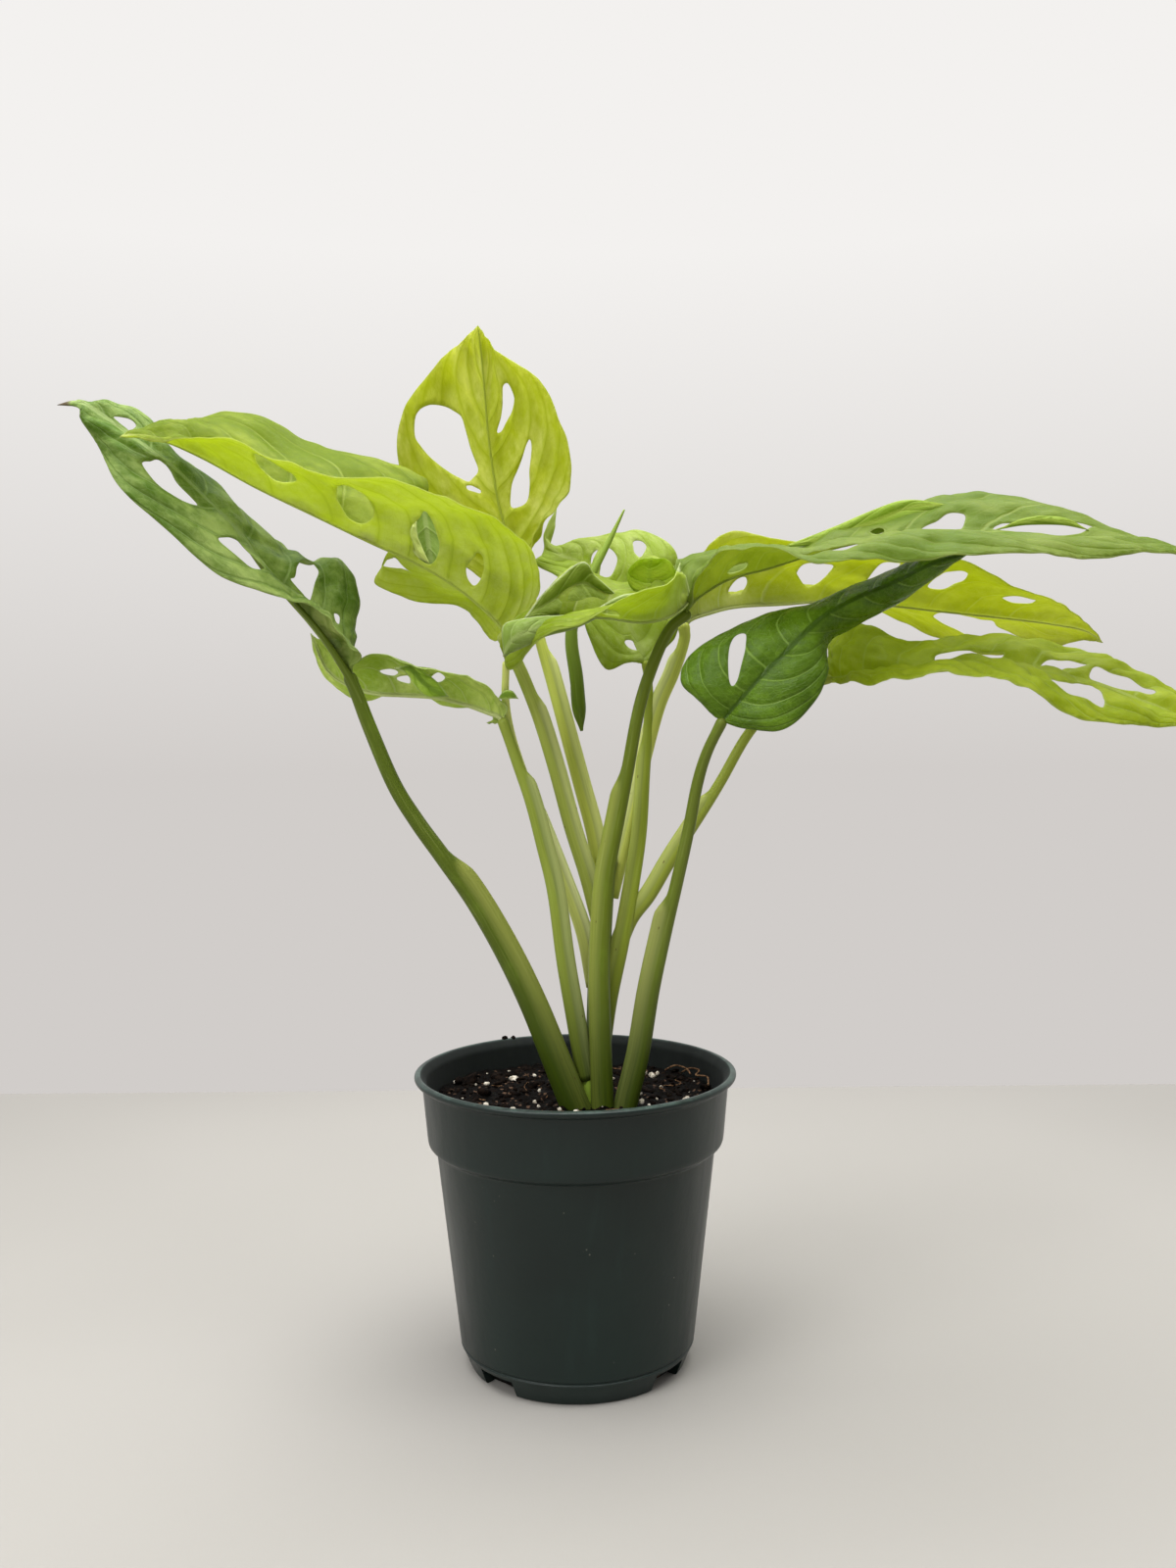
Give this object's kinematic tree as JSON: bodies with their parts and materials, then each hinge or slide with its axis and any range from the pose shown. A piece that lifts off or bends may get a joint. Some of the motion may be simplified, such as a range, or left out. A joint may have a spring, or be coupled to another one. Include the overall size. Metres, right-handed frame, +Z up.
{
  "type": "potted plant",
  "caption": "Potted climbing aroid with long perforated lime and green leaves on upright stalks, in a tapered round nursery pot of soil.",
  "frame": {"origin": "middle of the pot's underside, on the surface that it stands on", "axes": "+Z up along the pot's axis, -Y towards the side the picture was taken from, +X to the right in the picture"},
  "size_m": [0.5034, 0.1543, 0.4822],
  "materials": {
    "stalk": "smooth living plant stalk, olive to pale green, softly glossy",
    "green_leaf": "thin living leaf, mid green, satin, slightly translucent",
    "lime_leaf": "thin living leaf, lime green, satin, slightly translucent",
    "dark_leaf": "thin living leaf, dark green, glossy upper side",
    "pot_plastic": "moulded nursery pot plastic, very dark green, semi-matte",
    "soil": "damp dark potting mix with bark, fibres and white perlite"
  },
  "bodies": {
    "root": {"petiole_upper_right": "stalk", "petiole_far_left": "stalk", "petiole_glossy": "stalk", "petiole_low_left": "stalk", "petiole_back_centre": "stalk", "petiole_curled": "stalk", "petiole_long_front": "stalk", "petiole_low_right": "stalk", "petiole_top": "stalk", "petiole_lime_right": "stalk", "stem": "stalk", "new_leaf": "green_leaf", "leaf_far_left": "green_leaf", "leaf_long_front": "lime_leaf", "leaf_top": "lime_leaf", "leaf_back_centre": "lime_leaf", "leaf_curled": "green_leaf", "leaf_low_left": "green_leaf", "leaf_upper_right": "green_leaf", "leaf_lime_right": "lime_leaf", "leaf_glossy": "dark_leaf", "leaf_low_right": "lime_leaf", "pot": "pot_plastic", "soil": "soil"}
  },
  "joints": []
}
